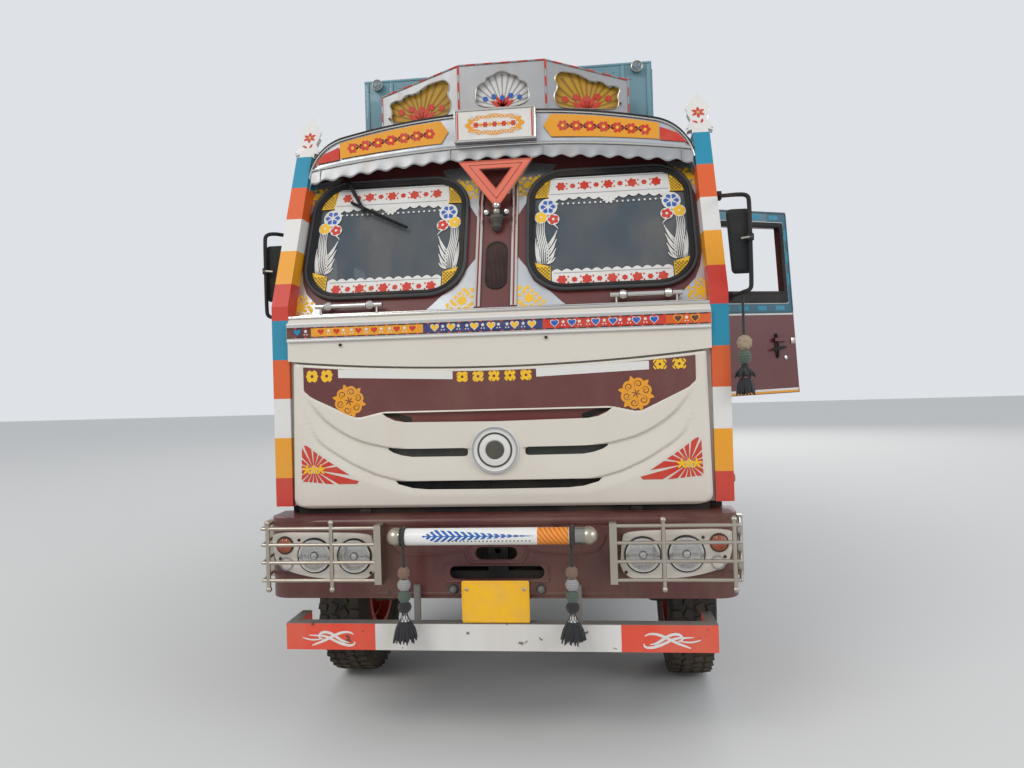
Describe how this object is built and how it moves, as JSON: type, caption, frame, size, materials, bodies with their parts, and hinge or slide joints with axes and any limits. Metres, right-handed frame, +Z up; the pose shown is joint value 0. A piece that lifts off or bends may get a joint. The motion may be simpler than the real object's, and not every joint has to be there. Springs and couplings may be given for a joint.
{
  "type": "decorated goods truck",
  "caption": "Forward-control goods truck with a raked two-pane cab, ornamental visor and crown, high-sided load body, open near-side door, steering, lift-up grille flap and drop tailgate.",
  "frame": {"origin": "on the ground, on the centre plane, under the front axle", "axes": "+X to the truck's left side, -Y the way it drives, +Z up"},
  "size_m": [3.0142, 8.7619, 3.815],
  "materials": {
    "paint_maroon": "semi-gloss paint, worn",
    "paint_cream": "semi-gloss paint, dusty",
    "paint_bands": "enamel in bands of red, amber, white, orange and cyan",
    "paint_body": "enamel, weathered",
    "paint_grey_blue": "enamel, dusty",
    "paint_white": "enamel, chipped",
    "steel_sheet": "rolled stainless sheet, satin",
    "steel_chrome": "plated, lightly pitted",
    "chassis_paint": "matt black, dusty",
    "axle_paint": "dull grey black",
    "engine_grey": "cast, oily",
    "tyre": "worn rubber",
    "rim_paint": "enamel over steel",
    "screen_glass": "clear, dusty",
    "lamp_glass": "fluted lens",
    "trim_black": "matt",
    "plate_yellow": "plain yellow reflective paint",
    "seat_cover": "red leathercloth",
    "cab_trim": "dull paint",
    "timber": "planks, weathered",
    "cord_black": "braided strap",
    "tassel_beads": "beads and brushes",
    "ornament_gold": "stamped sheet"
  },
  "bodies": {
    "root": {"body_sides": "paint_body", "bumper": "paint_maroon", "cab_back": "paint_maroon", "cab_floor": "cab_trim", "cab_roof": "paint_maroon", "cab_sides": "paint_maroon", "charm_cord": "cord_black", "chassis_frame": "chassis_paint", "corner_pillars": "paint_bands", "cowl_front": "paint_cream", "crown": "steel_sheet", "dashboard": "trim_black", "engine_block": "engine_grey", "exhaust": "engine_grey", "front_axle_beam": "axle_paint", "front_ornaments": "steel_chrome", "gearbox_and_shaft": "engine_grey", "headboard": "timber", "lamp_guards": "steel_chrome", "lamp_units": "paint_cream", "leaf_springs": "chassis_paint", "load_floor": "timber", "lower_bar": "paint_white", "mirrors": "trim_black", "nudge_tube": "steel_chrome", "number_plate": "plate_yellow", "radiator": "trim_black", "rear_axle_housing": "axle_paint", "rear_bumper": "chassis_paint", "roof_box": "paint_grey_blue", "seats": "seat_cover", "side_tanks": "chassis_paint", "steps_and_flaps": "chassis_paint", "tassel_cord_left": "cord_black", "tassel_cord_right": "cord_black", "tassels": "tassel_beads", "visor": "steel_sheet", "windscreen_glass": "screen_glass", "windscreen_surround": "paint_maroon", "wiper": "trim_black"},
    "knuckle_left": {"knuckle_left": "axle_paint"},
    "knuckle_right": {"knuckle_right": "axle_paint"},
    "tie_rod": {"tie_rod": "axle_paint"},
    "wheel_front_left": {"tyre_front_left": "tyre", "rim_front_left": "rim_paint"},
    "wheel_front_right": {"tyre_front_right": "tyre", "rim_front_right": "rim_paint"},
    "wheel_rear_left": {"tyre_rear_left": "tyre", "rim_rear_left": "rim_paint"},
    "wheel_rear_right": {"tyre_rear_right": "tyre", "rim_rear_right": "rim_paint"},
    "door_left": {"door_left": "paint_maroon"},
    "door_right": {"door_right": "paint_maroon"},
    "grille_flap": {"grille_flap": "paint_cream"},
    "tailgate": {"tailgate": "paint_body"},
    "steering_wheel": {"steering_wheel": "trim_black"}
  },
  "joints": [
    {"name": "steer_left", "type": "hinge", "parent": "root", "child": "knuckle_left", "pos_m": [0.86, 0, 0.525], "axis": [0, 0, 1], "range_deg": [-35, 35]},
    {"name": "steer_right", "type": "hinge", "parent": "root", "child": "knuckle_right", "pos_m": [-0.86, 0, 0.525], "axis": [0, 0, 1], "range_deg": [-35, 35]},
    {"name": "tie_rod_pivot", "type": "hinge", "parent": "knuckle_left", "child": "tie_rod", "pos_m": [0.86, 0.2, 0.41], "axis": [0, 0, 1], "range_deg": [-35, 35]},
    {"name": "wheel_front_left_spin", "type": "hinge", "parent": "knuckle_left", "child": "wheel_front_left", "pos_m": [1.03, 0, 0.525], "axis": [1, 0, 0], "continuous": true},
    {"name": "wheel_front_right_spin", "type": "hinge", "parent": "knuckle_right", "child": "wheel_front_right", "pos_m": [-1.03, 0, 0.525], "axis": [1, 0, 0], "continuous": true},
    {"name": "wheel_rear_left_spin", "type": "hinge", "parent": "root", "child": "wheel_rear_left", "pos_m": [0.895, 5.2, 0.525], "axis": [1, 0, 0], "continuous": true},
    {"name": "wheel_rear_right_spin", "type": "hinge", "parent": "root", "child": "wheel_rear_right", "pos_m": [-0.895, 5.2, 0.525], "axis": [1, 0, 0], "continuous": true},
    {"name": "door_left_hinge", "type": "hinge", "parent": "root", "child": "door_left", "pos_m": [1.15, -0.55, 2.23], "axis": [0, 0.0471, 0.9989], "range_deg": [-13, 62]},
    {"name": "door_right_hinge", "type": "hinge", "parent": "root", "child": "door_right", "pos_m": [-1.15, -0.55, 2.23], "axis": [0, 0.0471, 0.9989], "range_deg": [0, 75]},
    {"name": "grille_flap_hinge", "type": "hinge", "parent": "root", "child": "grille_flap", "pos_m": [0, -1.024, 1.962], "axis": [-1, 0, 0], "range_deg": [0, 75]},
    {"name": "tailgate_hinge", "type": "hinge", "parent": "root", "child": "tailgate", "pos_m": [0, 7.415, 1.232], "axis": [-1, 0, 0], "range_deg": [0, 175]},
    {"name": "steering_wheel_turn", "type": "hinge", "parent": "root", "child": "steering_wheel", "pos_m": [-0.56, -0.324, 1.9605], "axis": [0, 0.5, 0.866], "range_deg": [-560, 560]}
  ],
  "couplings": [
    {"joint": "steer_right", "follows": "steer_left", "ratio": 1},
    {"joint": "tie_rod_pivot", "follows": "steer_left", "ratio": -1},
    {"joint": "steering_wheel_turn", "follows": "steer_left", "ratio": 16}
  ]
}
